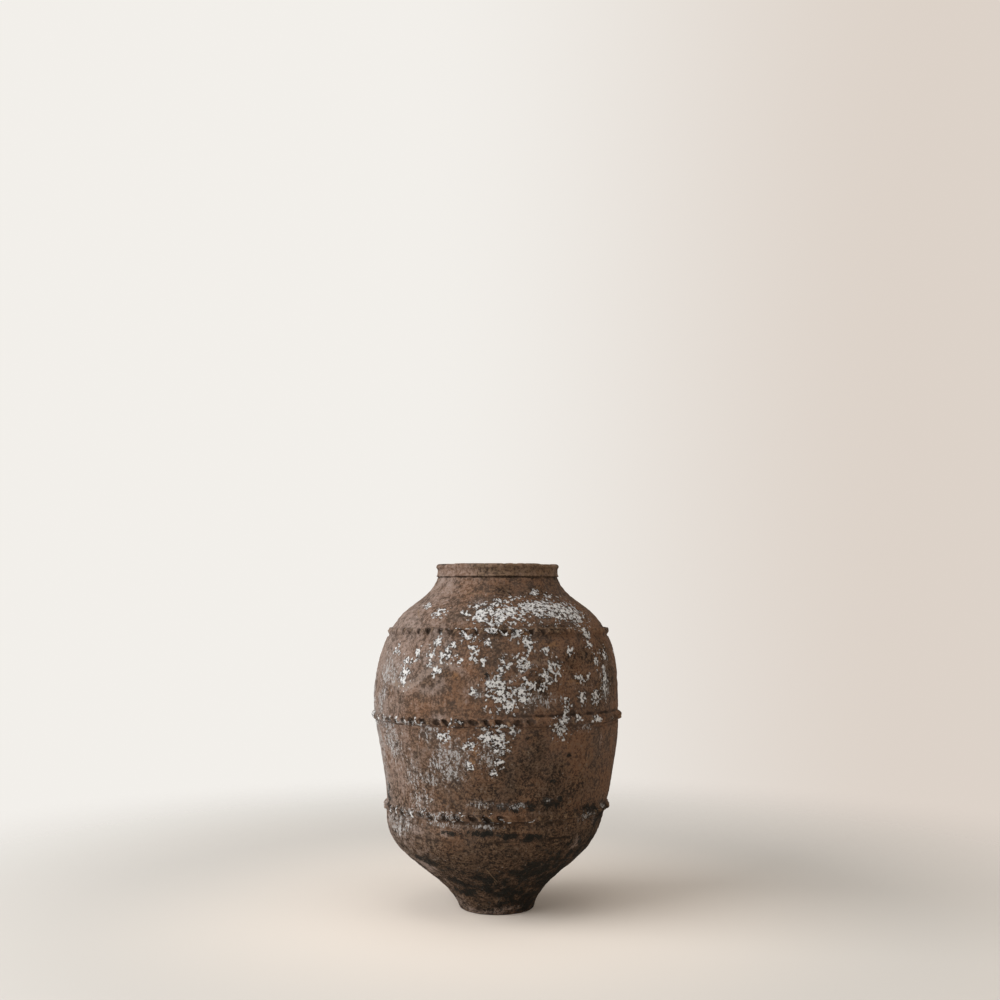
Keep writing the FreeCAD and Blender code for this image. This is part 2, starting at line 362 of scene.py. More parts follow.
class Profile:
    """The points that a tier is spun from, and which of them are on its outside."""

    def __init__(self, node):
        _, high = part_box(node)
        chain, self.closed = half_section(node)
        is_rim = node == "rim_collar"
        top = high.z / MM if is_rim else high.z / MM - TONGUE
        outside = True
        points = []
        skin = []
        corner = []
        self.outside = []
        for run in runs_between_corners(chain, self.closed):
            length = np.hypot(*np.diff(run, axis=0).T).sum()
            level = abs(run[0][1] - run[-1][1]) < CLOSE
            if outside:
                step = RIM_STEP if is_rim else SKIN_STEP
            elif length < 2 * TONGUE or level:
                step = JOINT_STEP
            else:
                step = INSIDE_STEP
            even = evened(run, step)
            points.extend(even[:-1])
            skin.extend([1.0 if outside else 0.0] * (len(even) - 1))
            corner.extend([1.0] + [0.0] * (len(even) - 2))
            if outside:
                self.outside.extend(even)
                radius, height = run[-1]
                if is_rim:
                    leaves = radius < bore_radius + CLOSE and height < top - LIP_DEPTH
                else:
                    leaves = height > top - CLOSE
                if leaves:
                    outside = False
                    skin_end = len(points)
        if not self.closed:
            points.append(chain[-1])
            skin.append(0.0)
            corner.append(0.0)
        skin[skin_end] = 1.0
        self.points = np.array(points)
        self.skin = np.array(skin)
        self.corner = np.array(corner)
        self.outside = np.array(self.outside)
        if is_rim:
            inner = self.points[:, 0] < bore_radius + 1.5
            shallow, deep = LIP_FADE
            self.skin *= 1 - inner * smooth(top - shallow, top - deep, self.points[:, 1])
        if not self.closed:
            self.skin[self.points[:, 1] < 0.01] = 0.0


mouth = next(m for m in frame["record"]["mounts"] if m["name"] == "mouth")
bore_radius = mouth["dims"]["r_mm"]
profiles = {node: Profile(node) for node in TIER_FINISHES}

# The outside of the whole wall below the rim, as radius and lean for each height.
wall_points = np.vstack([profiles[n].outside for n in TIER_FINISHES if n != "rim_collar"])
wall_points = wall_points[np.argsort(wall_points[:, 1], kind="stable")]
wall_points = wall_points[np.append(True, np.diff(wall_points[:, 1]) > ROWS_APART)]
wall_lean = np.gradient(wall_points[:, 0], wall_points[:, 1])
NECK_TOP = wall_points[-1, 1]


def wall_radius(height):
    """The radius of the smooth outline."""
    return np.interp(height, wall_points[:, 1], wall_points[:, 0])


def facing(height):
    """How the outside faces: its outward and its upward share."""
    lean = np.interp(height, wall_points[:, 1], wall_lean)
    lean = lean * smooth(1, 14, height) * (1 - smooth(NECK_TOP - 14, NECK_TOP, height))
    length = np.hypot(1, lean)
    return 1 / length, -lean / length


def drift(height):
    """How far to the right the wall stands."""
    heights = np.array(sorted(DRIFT), float)
    shifts = np.array([DRIFT[h] for h in sorted(DRIFT)], float)
    return curve(heights, shifts, height)


# --- The surface: relief, age, and painted light and shade, for places on the outside -------------
def around(azimuth):
    """An azimuth brought to between -180 and 180."""
    return (azimuth + 180) % 360 - 180


def patches(azimuth, height, places, core=0.1, edge=1.7):
    """1 in the middle of the listed patches and 0 away from them."""
    amount = np.zeros_like(height)
    radius = wall_radius(height)
    for middle, level, half_width, half_height in places:
        across = around(azimuth - middle) * DEGREE * radius / half_width
        up = (height - level) / half_height
        amount = np.maximum(amount, 1 - smooth(core, edge, np.hypot(across, up)))
    return amount


def lines(azimuth, height, places, width):
    """1 on the listed scratches."""
    amount = np.zeros_like(height)
    radius = wall_radius(height)
    for a0, h0, a1, h1 in places:
        x = around(azimuth - a0) * DEGREE * radius
        y = height - h0
        dx = (a1 - a0) * DEGREE * float(wall_radius(h0))
        dy = h1 - h0
        share = np.clip((x * dx + y * dy) / (dx * dx + dy * dy), 0, 1)
        away = np.hypot(x - share * dx, y - share * dy)
        amount = np.maximum(amount, 1 - smooth(0.3 * width, width, away))
    return amount


def scattered_places(count, seed):
    """Patches that age put anywhere on the far side."""
    places = []
    for i in range(count):
        azimuth = 80 + 200 * scatter(i, 1, seed=seed)
        height = 430 + 330 * scatter(i, 2, seed=seed)
        size = 8 + 22 * scatter(i, 3, seed=seed) ** 2
        places.append((azimuth, height, size, size * (0.6 + 0.8 * scatter(i, 4, seed=seed))))
    return tuple(places)


ALL_LIME = LIME + scattered_places(LIME_ROUND_THE_BACK, 5)


def wave_distance(azimuth, height):
    """How far a place is above the finger's line, square to that line."""
    turn = WAVES * (azimuth - WAVE_CREST) * DEGREE
    wander = 3.0 * np.sin(azimuth * DEGREE * 3 + 1.0) + 2.0 * np.sin(azimuth * DEGREE * 5)
    line = WAVE_HEIGHT + wander + WAVE_RISE * np.cos(turn)
    slope = -WAVE_RISE * WAVES * np.sin(turn) / wall_radius(height)
    return (height - line) / np.hypot(1, slope)


def relief(place, azimuth, height):
    """How far the skin stands out, how much dirt and painted shade its hollows take, and where it is
    on the finger's wave.
    """
    swell = 2.0 * noise(place, 170, 11) + 0.9 * noise(place, 75, 12)
    stretched = place * (1, 1, 2.2)
    rough = 0.42 * noise(stretched, 26, 13) + 0.30 * noise(place, 12, 14)
    rough = rough + 0.26 * noise(place, 6, 15)
    rough = rough * (1 + 0.8 * (1 - smooth(150, 300, height)))
    turned = noise(place, 60, 16)
    wheel = np.sin(height * math.tau / WHEEL_STEP + 2.5 * turned + azimuth * DEGREE * 2)
    strong = np.maximum(within(height, 185, 200, 262, 280), 0.6 * smooth(700, 720, height))
    wheel = (0.22 + 0.45 * strong) * wheel * (0.5 + 0.5 * noise(place, 90, 17))
    pit = smooth(0.55, 0.8, noise(place, 9, 18))
    away = wave_distance(azimuth, height)
    fresh = 0.65 + 0.35 * noise(place, 80, 20)
    groove = np.exp(-(away / FINGER) ** 4) * fresh
    burr = peak(away, -1.35 * FINGER, 3.2) + 0.6 * peak(away, 1.3 * FINGER, 3)
    crack = crevices(azimuth, height, turned) * (0.75 + 0.5 * noise(place, 14, 19))
    knee = 0.9 * peak(height, KNEE + 3 * turned, 3.0) * smooth(-0.1, 0.5, turned)
    cut = lines(azimuth, height, SCRATCHES, 3.4)
    stand = (swell + rough + wheel - 0.8 * pit - FINGER_DEPTH * groove + 0.80 * fresh * burr
             - 1.5 * crack - knee - 0.5 * cut)
    # Dirt and painted shade: low places, pits, the crevices and the step over the cone are painted
    # darker.
    hollow = np.clip(-0.45 * (rough + wheel) + 0.45 * pit + 0.9 * crack + 0.8 * knee, 0, 1)
    return stand, hollow, groove, away


def crevices(azimuth, height, turned):
    """The dark lines under the collar and beside the bands: grooves, darkened with dirt and painted
    shade.
    """
    lower, middle, upper = BANDS
    front = within(azimuth, -26, -10, 12, 40)
    right = within(azimuth, -2, 14, 95, 120)
    under_lower = peak(height, lower.low + lower.raised(azimuth) - 1.5, 2.6)
    over_middle = peak(height, middle.high + middle.raised(azimuth) + 2.5 + 2.2 * turned, 4.2)
    over_upper = peak(height, upper.high + upper.raised(azimuth) + 1.0, 2.4)
    under_collar = peak(height, NECK_TOP - 1.0, 2.6)
    return ((0.05 + 0.95 * right) * over_middle + (0.05 + 0.7 * front) * under_lower
            + 0.5 * right * over_upper + 1.1 * under_collar)


def age(place, azimuth, height, away, groove):
    """What the materials need to know about each place on the outside."""
    lime = patches(azimuth, height, ALL_LIME, 0.2, 2.1)
    thin_lime = 0.48 * patches(azimuth, height, ALL_LIME, 0.2, 3.2)
    low_down = 1 - smooth(130, 260, height)
    # Painted shade: the side away from the window lamp is painted darker, with more black growth near
    # the foot and more stain.
    shaded = within(azimuth, -30, 60, 150, 180)
    moss_and_shade = low_down * (0.19 + 0.43 * shaded + 0.30 * noise(place, 60, 31))
    arch = 0.5 + 0.5 * np.cos(WAVES * (azimuth - WAVE_CREST) * DEGREE)
    under_arch = within(away, -80, -20, -1.6 * FINGER, -1.1 * FINGER) * arch
    return {
        "lime": np.maximum(lime, thin_lime),
        "salt": patches(azimuth, height, SALT),
        "growth_and_shade": np.maximum(0.95 * patches(azimuth, height, GROWTH), moss_and_shade),
        "stain_and_shade": stain_and_shade(place, azimuth, height, low_down, shaded, under_arch),
        "dust_and_light": dust_and_light(place, azimuth, height, groove, under_arch),
        "orange": patches(azimuth, height, ORANGE, 0.1, 1.6),
        "scratch": lines(azimuth, height, SCRATCHES, 2.2),
    }


def stain_and_shade(place, azimuth, height, low_down, shaded, under_arch):
    """Dark clay: in the listed places, down the jar and under the wave's arches; and painted shade on
    the side away from the window lamp.
    """
    lower_half = 1 - smooth(250, 520, height)
    # The shaded term is painted shade: the side away from the window lamp is painted darker.
    all_over = 0.12 + 0.14 * shaded + 0.42 * lower_half + 0.3 * noise(place, 110, 32)
    amount = np.maximum(0.80 * patches(azimuth, height, STAINS), all_over)
    amount = amount - 0.30 * smooth(*STAINS_END, height)
    return np.clip(amount + 0.42 * under_arch + 0.45 * low_down, 0, 1.2)


def dust_and_light(place, azimuth, height, groove, under_arch):
    """Pale dust, with painted light on the left where the window lamp falls: on the left and the
    back, above the wave, on the collar and in the wave.
    """
    # Partly real dust and partly painted light: the left side, which faces the window lamp, and the
    # shoulder on the left are painted paler and greyer.
    side = (1 - smooth(-80, 0, azimuth)) * (1 - smooth(0, 30, -150 - azimuth))
    side = side * (0.75 * smooth(0, 90, height) + 0.25 * smooth(150, 340, height))
    side = side * (0.5 + 0.5 * smooth(-150, -90, azimuth))
    left = within(azimuth, -110, -60, -40, 12)
    amount = (0.80 - 0.25 * smooth(680, 760, height)) * side
    amount = amount + 0.26 * smooth(540, 620, height) * left
    amount = amount + 0.34 * collar_front(azimuth, height)
    amount = amount + 0.55 * patches(azimuth, height, DUSTY, 0.1, 1.5)
    amount = amount + 0.65 * groove + 0.2 * noise(place, 50, 33) * side
    return np.clip(amount - 0.2 * under_arch, 0, 1)


def collar_front(azimuth, height):
    """1 on the front of the collar, where hands and weather have rubbed it pale."""
    return smooth(*ON_THE_COLLAR, height) * within(azimuth, *COLLAR_FRONT)


# --- Making the pieces ----------------------------------------------------------------------------
def spun(name, profile, labels, closed, steps):
    """Turns a profile about the jar's axis into a closed shell."""
    count = len(profile)
    mesh = bpy.data.meshes.new(name)
    edges = [(i, i + 1) for i in range(count - 1)]
    if closed:
        edges.append((count - 1, 0))
    mesh.from_pydata([(r * MM, 0, h * MM) for r, h in profile], edges, [])
    for label, values in labels.items():
        mesh.attributes.new(label, "FLOAT", "POINT").data.foreach_set("value", values)
    piece = bpy.data.objects.new(name, mesh)
    bpy.context.scene.collection.objects.link(piece)
    open_mesh(piece)
    share = math.tau / 2 ** DOUBLINGS
    bpy.ops.mesh.spin(steps=steps // 2 ** DOUBLINGS, angle=share, center=(0, 0, 0), axis=(0, 0, 1))
    for doubling in range(DOUBLINGS):
        bpy.ops.mesh.select_all(action="SELECT")
        bpy.ops.mesh.duplicate()
        angle = share * 2 ** doubling
        bpy.ops.transform.rotate(value=angle, orient_axis="Z", center_override=(0, 0, 0))
    bpy.ops.mesh.select_all(action="SELECT")
    bpy.ops.mesh.remove_doubles(threshold=MERGE)
    bpy.ops.mesh.normals_make_consistent(inside=False)
    close_mesh()
    return piece


def read(piece, label):
    """What each point of the mesh says under this label."""
    values = np.zeros(len(piece.data.vertices), np.float32)
    piece.data.attributes[label].data.foreach_get("value", values)
    return values.astype(float)


def write(piece, label, values):
    """Labels each point of the mesh with a value."""
    attribute = piece.data.attributes.get(label)
    if attribute is None:
        attribute = piece.data.attributes.new(label, "FLOAT", "POINT")
    attribute.data.foreach_set("value", np.asarray(values, np.float32))


def places(piece):
    """Where each point of the mesh is, and its azimuth."""
    points = np.zeros(3 * len(piece.data.vertices), np.float32)
    piece.data.vertices.foreach_get("co", points)
    points = points.reshape(-1, 3).astype(float) / MM
    azimuth = np.degrees(np.arctan2(points[:, 0], -points[:, 1]))
    return points, azimuth


def settle(piece, points):
    """Puts the moved points back and shades the piece smooth."""
    piece.data.vertices.foreach_set("co", (points * MM).astype(np.float32).ravel())
    piece.data.polygons.foreach_set("use_smooth", np.ones(len(piece.data.polygons), bool))
    piece.data.update()


def crease(piece):
    """Marks the rings at the outline's corners as sharp edges."""
    corner = read(piece, "corner") > 0.5
    points, _ = places(piece)
    ends = np.zeros(2 * len(piece.data.edges), np.int32)
    piece.data.edges.foreach_get("vertices", ends)
    a, b = ends.reshape(-1, 2).T
    ring = np.abs(points[a, 2] - points[b, 2]) < 0.01
    ring &= np.abs(np.hypot(*points[a, :2].T) - np.hypot(*points[b, :2].T)) < 0.01
    sharp = piece.data.attributes.new("sharp_edge", "BOOLEAN", "EDGE")
    sharp.data.foreach_set("value", corner[a] & corner[b] & ring)


def dress(piece, node, finish):
    """Puts the piece in its CAD node's place and gives it its finish."""
    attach(piece, "root")
    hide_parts(node)
    piece.data.materials.clear()
    piece.data.materials.append(FINISHES[finish])


def tier(node, finish):
    """One tier of the wall, with the marks of making and of age on its outside."""
    profile = profiles[node]
    labels = {"skin": profile.skin, "corner": profile.corner}
    piece = spun(node + "_clay", profile.points, labels, profile.closed, TURNS)
    points, azimuth = places(piece)
    height = points[:, 2]
    skin = read(piece, "skin")
    stand, hollow, groove, away = relief(points, azimuth, height)
    for label, values in age(points, azimuth, height, away, groove).items():
        write(piece, label, values * skin)
    write(piece, "hollow", hollow * skin)
    write(piece, "worn", 0.75 * (groove + collar_front(azimuth, height)) * skin)
    outward, upward = facing(height)
    radius = np.hypot(points[:, 0], points[:, 1])
    moved = points.copy()
    scale = 1 + skin * stand * outward / np.maximum(radius, 1)
    moved[:, :2] *= scale[:, None]
    moved[:, 2] += skin * stand * upward
    if node == "rim_collar":
        chip_rim(moved, azimuth, skin)
    moved[:, 0] += drift(height)
    crease(piece)
    settle(piece, moved)
    dress(piece, node, finish)


def chip_rim(moved, azimuth, skin):
    """Breaks small chips out of the lip's edge, and a longer one on the right."""
    top = moved[:, 2].max()
    turn = azimuth * DEGREE
    ring = LIP_RADIUS * np.column_stack((np.cos(turn), np.sin(turn), 0 * turn))
    long_chip = within(azimuth, 40, 48, 76, 84)
    ragged = smooth(0.25, 0.75, noise(ring, 16, 41)) + 0.5 * smooth(0.4, 0.8, noise(ring, 7, 42))
    drop = 4.0 * long_chip * (0.6 + 0.4 * noise(ring, 22, 43)) + ragged
    drop = drop + 0.4 * noise(ring, 60, 44)
    reach = smooth(top - 16, top, moved[:, 2])
    moved[:, 2] -= skin * drop * reach


def plain_strip(strip):
    """The strip as it is laid on, before the thumb."""
    rows = np.linspace(0, 1, BAND_ROWS)
    base = strip.low + strip.width * rows
    outward, upward = facing(base)
    rise = strip.rise * swelling(rows) - BAND_FEET * (1 - swelling(rows))
    front = np.column_stack((wall_radius(base) + rise * outward, base + rise * upward))
    ends = base[[-1, 0]]
    back = np.column_stack((wall_radius(ends) - BAND_SEAT, ends + (-BAND_SEAT, BAND_SEAT)))
    labels = {"skin": np.append(np.ones(BAND_ROWS), (0, 0)), "across": np.append(rows, (1, 0))}
    return spun(strip.node + "_clay", np.vstack((front, back)), labels, True, BAND_STEPS)


def band(strip):
    """A thumb-pressed strip of clay, its feet smeared into the wall."""
    piece = plain_strip(strip)
    points, azimuth = places(piece)
    across = read(piece, "across")
    skin = read(piece, "skin")
    body = swelling(across)
    raised = strip.raised(azimuth)
    level = strip.low + strip.width * across
    radius = np.hypot(points[:, 0], points[:, 1])
    spread = (wall_radius(level + raised) - wall_radius(level)) / radius
    points[:, :2] *= (1 + spread)[:, None]
    points[:, 2] += raised
    on_wall = np.column_stack((points[:, :2], level + raised))
    stand, hollow, groove, away = relief(on_wall, azimuth, on_wall[:, 2])

    press, ridge, side = thumb_marks(strip, points, azimuth, across)
    uneven = 1.7 * noise(points, 17, 52) + 1.2 * noise(points, 8, 53) + 0.9 * noise(points, 4.5, 54)
    dent = strip.rise * press * (0.95 - 0.25 * side)
    off = stand + skin * body * np.maximum(uneven + 2.2 * ridge - dent, 0.9 - strip.rise)
    outward, upward = facing(points[:, 2])
    moved = points.copy()
    moved[:, :2] *= (1 + off * outward / np.hypot(points[:, 0], points[:, 1]))[:, None]
    moved[:, 2] += off * upward
    moved[:, 0] += drift(points[:, 2])

    known = age(on_wall, azimuth, on_wall[:, 2], away, groove)
    known["worn"] = (1 - press) * smooth(0.6, 1.0, body) * (0.35 + 0.75 * ridge)
    below = 0
    if strip.limed:
        chalk = chalk_on_strip(points, azimuth, ridge * body)
        # Painted shadow and dirt along the strip's lower foot, where the strip shades the wall under
        # it.
        below = (1 - smooth(0.10, 0.30, across)) * (0.55 + 0.45 * noise(points, 20, 55))
    else:
        ledge = peak(across, 0.80, 0.09) * within(azimuth, -30, -14, 50, 70)
        known["worn"] = np.maximum(known["worn"], 0.85 * ledge)
        chalk = 0.8 * ledge * (1 - smooth(-14, -6, azimuth))
    known["lime"] = np.maximum(known["lime"], chalk)
    broken = 0.75 + 0.40 * noise(points, 8, 57) + 0.25 * noise(points, 4.5, 59)
    # Dirt and painted shade in the thumb marks: darkest on each mark's left half, the wall that the
    # window lamp from the left leaves in shade.
    pit = press * (1.08 - 0.55 * side) * (0.35 + 0.65 * body) * broken
    known["hollow"] = np.clip(pit + 0.5 * hollow + 0.7 * below, 0, 1)
    known["skin"] = np.ones_like(skin)
    for label, values in known.items():
        write(piece, label, values)
    settle(piece, moved)
    dress(piece, strip.node, "band_clay")


def chalk_on_strip(points, azimuth, ridge):
    """Lime that clings to a strip: thickly to its ridges on the left, in flecks further round."""
    left = 1 - 0.5 * smooth(-50, -36, azimuth) - 0.5 * smooth(-20, -5, azimuth)
    left = left * smooth(-95, -80, azimuth)
    thick = left * (1.15 + 0.45 * noise(points, 9, 56)) * ridge
    flecks = within(azimuth, -70, -40, 10, 40) * smooth(-0.2, 0.5, noise(points, 30, 58))
    return np.maximum(thick, 0.36 * flecks)


def swelling(across):
    """The strip's section: a low back with soft feet."""
    return within(across, 0, 0.38, 0.62, 1)


def thumb_marks(strip, points, azimuth, across):
    """How deep the thumb went, the clay that it pushed up, and the side of the mark."""
    radius = float(wall_radius(strip.middle))
    pitch = math.tau * radius / strip.marks
    up = (across - 0.5) * strip.width
    phase = (azimuth * DEGREE * radius + up * math.tan(strip.lean)) / pitch
    index = np.floor(phase) % strip.marks
    seed = int(strip.low)
    shift = 0.28 * (scatter(index, seed=seed) - 0.5)
    side = (phase - np.floor(phase) - 0.5 - shift) * pitch
    half_width = strip.half_width * (0.70 + 0.5 * scatter(index, seed=seed + 1))
    wedge = strip.flare * (1 + 0.9 * within(azimuth, -32, -18, 20, 40))
    half_width = half_width * (1 + wedge * 2 * (across - 0.5)) * (1 + wedge - strip.flare)
    half_height = strip.half_height * (0.8 + 0.35 * scatter(index, seed=seed + 2))
    ragged = 0.16 * noise(points, 8, seed) + 0.10 * noise(points, 4, seed + 6)
    lift = 3.0 * (scatter(index, seed=seed + 3) - 0.5)
    away = np.hypot(side / np.maximum(half_width, 1), (up - lift) / half_height) + ragged
    deep = 0.66 + 0.34 * scatter(index, seed=seed + 4)
    faded = within(azimuth, strip.fading, strip.fading + 12, 60, 76)
    deep = deep * (1 - 0.55 * faded)
    side = np.clip(side / half_width, -1, 1)
    press = deep * (1 - smooth(0.50, 1.08, away))
    ridge = peak(away, 1.28, 0.28) * smooth(-0.4, 0.6, side)
    return press, ridge, side


# --- Materials ------------------------------------------------------------------------------------
BROWN = (0.094, 0.066, 0.050)
RUST = (0.166, 0.089, 0.051)
UMBER = (0.038, 0.0268, 0.0192)
DARK_UMBER = (0.019, 0.0125, 0.0085)
# Pale greyish pink: dust, and painted light on the left side that faces the window lamp.
DUST_AND_LIGHT = (0.252, 0.194, 0.166)
TAN = (0.205, 0.135, 0.079)
ORANGE_CLAY = (0.260, 0.135, 0.062)
LIME_WHITE = (0.640, 0.625, 0.605)
LIME_GREY = (0.220, 0.214, 0.212)
SALT_GREY = (0.350, 0.338, 0.328)
HAZE_GREY = (0.200, 0.178, 0.162)
MOSS_AND_SHADE_BLACK = (0.009, 0.0095, 0.008)
INNER_CLAY = (0.170, 0.105, 0.075)


class Value:
    """A number that changes over the surface. Sums on it become Math nodes."""

    def __init__(self, finish, socket):
        self.finish = finish
        self.socket = socket

    def __add__(self, other):
        return self.finish.sum("ADD", self, other)

    __radd__ = __add__

    def __sub__(self, other):
        return self.finish.sum("SUBTRACT", self, other)

    def __rsub__(self, other):
        return self.finish.sum("SUBTRACT", other, self)

    def __mul__(self, other):
        return self.finish.sum("MULTIPLY", self, other)

    __rmul__ = __mul__


class Finish:
    """A surface, built up node by node."""

    def __init__(self, name):
        self.material = bpy.data.materials.new(name)
        self.material.use_nodes = True
        self.tree = self.material.node_tree
        self.shader = self.tree.nodes["Principled BSDF"]
        self.place = self.node("ShaderNodeTexCoord", output="Object")

    def node(self, kind, settings=(), sockets=(), output=0):
        """Adds a node, sets it up, fills its sockets and gives one of its outputs."""
        made = self.tree.nodes.new(kind)
        for key, value in dict(settings).items():
            setattr(made, key, value)
        for key, value in dict(sockets).items():
            self.fill(made.inputs[key], value)
        return Value(self, made.outputs[output])

    def fill(self, socket, value):
        """Links a Value to the socket, or sets the socket to a number, a vector or a colour."""
        if isinstance(value, Value):
            self.tree.links.new(value.socket, socket)
        elif isinstance(value, tuple) and len(socket.default_value) == 4:
            socket.default_value = (*value, 1)
        else:
            socket.default_value = value

    def sum(self, operation, first, second):
        return self.node("ShaderNodeMath", {"operation": operation}, {0: first, 1: second})

    def stretch(self, *factors):
        """Places scaled along X, Y and Z, which draws a cloud out where a factor is small."""
        times = {"operation": "MULTIPLY"}
        return self.node("ShaderNodeVectorMath", times, {0: self.place, 1: factors})

    def known(self, label):
        """What the mesh says about this place."""
        return self.node("ShaderNodeAttribute", {"attribute_name": label}, output="Fac")

    def cloud(self, size_mm, detail, roughness, where=None):
        """Noise of about the given size, centred on zero and mostly between -1 and 1."""
        sockets = {"Vector": where or self.place, "Scale": 1 / (size_mm * MM),
                   "Detail": detail, "Roughness": roughness}
        return (self.node("ShaderNodeTexNoise", {}, sockets) - 0.5) * 6

    def ramp(self, value, low, high):
        """0 below low, 1 above high."""
        sockets = {"Value": value, "From Min": low, "From Max": high}
        return self.node("ShaderNodeMapRange", {"interpolation_type": "SMOOTHSTEP"}, sockets)

    def mix(self, share, first, second, how="MIX"):
        """A colour mix, whose two colours are its sockets 6 and 7."""
        settings = {"data_type": "RGBA", "blend_type": how}
        return self.node("ShaderNodeMix", settings, {0: share, 6: first, 7: second}, output=2)

    def bump(self, height, depth_mm):
        sockets = {"Height": height, "Distance": depth_mm * MM, "Strength": 1.0}
        return self.node("ShaderNodeBump", {}, sockets)


class Clay(Finish):
    """Unglazed clay that has stood outdoors, with the clouds that its layers share."""

    def __init__(self, name):
        super().__init__(name)
        self.blotch = self.cloud(90, 3, 0.6)
        self.mottle = self.cloud(26, 3, 0.62)
        self.fleck = self.cloud(10, 3, 0.62)
        self.speckle = self.cloud(5, 3, 0.65)
        self.grain = self.cloud(1.6, 2, 0.6)
        self.streak = self.cloud(7, 3, 0.6, self.stretch(1, 1, 0.22))
        self.rings = self.cloud(9, 2, 0.6, self.stretch(0.25, 0.25, 1))


def fired_colour_and_light(clay):
    """The clay's own colour with its stains and painted shade, and the dust and painted light that
    lie on it.
    """
    stain_and_shade_here = clay.known("stain_and_shade")
    hue = 0.7 * clay.blotch + 0.5 * clay.mottle + 0.6 * clay.fleck + 0.4 * clay.speckle
    colour = clay.mix(clay.ramp(hue, -1.0, 1.1), BROWN, RUST)
    soaked = stain_and_shade_here + 0.22 * clay.mottle + 0.24 * clay.fleck + 0.10 * clay.speckle
    soaked = soaked + 0.10 * clay.streak
    colour = clay.mix(clay.ramp(soaked, 0.15, 1.15) * 0.90, colour, UMBER)

    clumps = 0.50 * clay.mottle + 0.76 * clay.fleck + 0.72 * clay.speckle
    clumps = clumps + 0.45 * clay.grain + 0.35 * clay.streak
    shade = clay.ramp(clumps, -1.15, 1.15)
    calm = clay.mix(shade, (0.69, 0.66, 0.64), (1.27, 1.27, 1.28))
    wild = clay.mix(shade, (0.20, 0.20, 0.20), (2.15, 2.00, 1.80))
    tint = clay.mix(clay.ramp(stain_and_shade_here, 0.15, 0.95), calm, wild)
    colour = clay.mix(1.0, colour, tint, "MULTIPLY")
    tan = clay.ramp(0.9 * clay.fleck + 0.7 * clay.speckle - 0.4 * clay.mottle, 0.35, 1.3)
    colour = clay.mix(tan * (0.14 + 0.26 * stain_and_shade_here), colour, TAN)

    dust_and_light_mask = clay.known("dust_and_light") + 0.22 * clay.mottle + 0.16 * clay.fleck
    dust_and_light_mask = dust_and_light_mask + 0.12 * clay.speckle + 0.10 * clay.streak
    soft = clay.mix(shade, (0.80, 0.79, 0.78), (1.18, 1.18, 1.18))
    dust_and_light_colour = clay.mix(1.0, DUST_AND_LIGHT, soft, "MULTIPLY")
    return clay.mix(clay.ramp(dust_and_light_mask, 0.15, 1.15) * 0.80, colour, dust_and_light_colour)


def chipped(clay, colour):
    """Bare orange clay, and dark specks."""
    bare = clay.ramp(clay.known("orange") + 0.35 * clay.speckle, 0.5, 1.2)
    colour = clay.mix(bare * 0.6, colour, ORANGE_CLAY)
    specks = 0.7 * clay.speckle + 0.6 * clay.fleck + 0.4 * clay.grain + 0.6 * clay.known("stain_and_shade")
    return clay.mix(clay.ramp(specks, 1.25, 1.60) * 0.36, colour, DARK_UMBER)


def moss_and_shade(clay, colour):
    """Black growth, with painted shade on the side away from the window lamp near the foot, and where
    it is.
    """
    patchy = clay.known("growth_and_shade") + 0.60 * clay.cloud(22, 3, 0.65)
    patchy = patchy + 0.40 * clay.fleck + 0.26 * clay.speckle
    moss_and_shade_cover = clay.ramp(patchy, 0.50, 0.78) * clay.ramp(clay.known("growth_and_shade"), 0.04, 0.25)
    return clay.mix(moss_and_shade_cover * 0.94, colour, MOSS_AND_SHADE_BLACK), moss_and_shade_cover


def dirt_shade_and_wear(clay, colour):
    """Dirt and painted shade in the hollows, and clay rubbed bare on what stands out."""
    grime_and_shade = clay.known("hollow") + 0.26 * clay.speckle + 0.14 * clay.grain + 0.06 * clay.rings
    colour = clay.mix(clay.ramp(grime_and_shade, 0.22, 0.80) * 0.90, colour, DARK_UMBER)
    bare = clay.ramp(clay.known("worn") + 0.35 * clay.speckle, 0.40, 1.1)
    return clay.mix(bare * 0.62, colour, TAN)


def salty(clay, colour):
    """Salt: a thin haze, and a bloom drawn down the wall."""
    salt = clay.known("salt")
    haze = clay.ramp(salt + 0.35 * clay.fleck + 0.35 * clay.speckle + 0.2 * clay.streak, 0.25, 1.35)
    colour = clay.mix(haze * 0.28, colour, HAZE_GREY)
    fine = clay.cloud(3.8, 2, 0.65, clay.stretch(1, 1, 0.7))
    bloom = clay.ramp(salt + 0.56 * fine + 0.40 * clay.streak + 0.26 * clay.fleck, 1.00, 1.20)
    return clay.mix(bloom * 0.85, colour, SALT_GREY)


def chalky(clay, colour):
    """Flakes of limewash, full of pores and with a dark rim of dirt and painted shadow, and where
    they are.
    """
    lime = clay.known("lime")
    ragged = 0.26 * clay.cloud(18, 1, 0.5) + 0.52 * clay.cloud(9, 1, 0.5)
    edge = 1.35 * lime + (ragged + 0.24 * clay.cloud(5, 1, 0.5))
    pores = clay.ramp(clay.cloud(7.5, 1, 0.5) + 0.4 * clay.cloud(4, 1, 0.5), 0.32, 0.50)
    # Dirt and painted shadow: a dark line round the edge of each flake of limewash.
    edge_dirt_and_shadow = clay.ramp(edge, 0.50, 0.78) * clay.ramp(lime, 0.05, 0.4)
    colour = clay.mix(edge_dirt_and_shadow * (0.40 + 0.35 * pores), colour, DARK_UMBER)
    flakes = clay.ramp(edge, 0.76, 0.81) * (1 - 0.92 * pores) * clay.ramp(lime, 0.05, 0.22)
    thick = clay.ramp(edge + 0.60 * clay.speckle + 0.30 * clay.grain, 0.60, 1.60)
    white = clay.mix(thick, LIME_GREY, LIME_WHITE)
    return clay.mix(flakes, colour, white), flakes


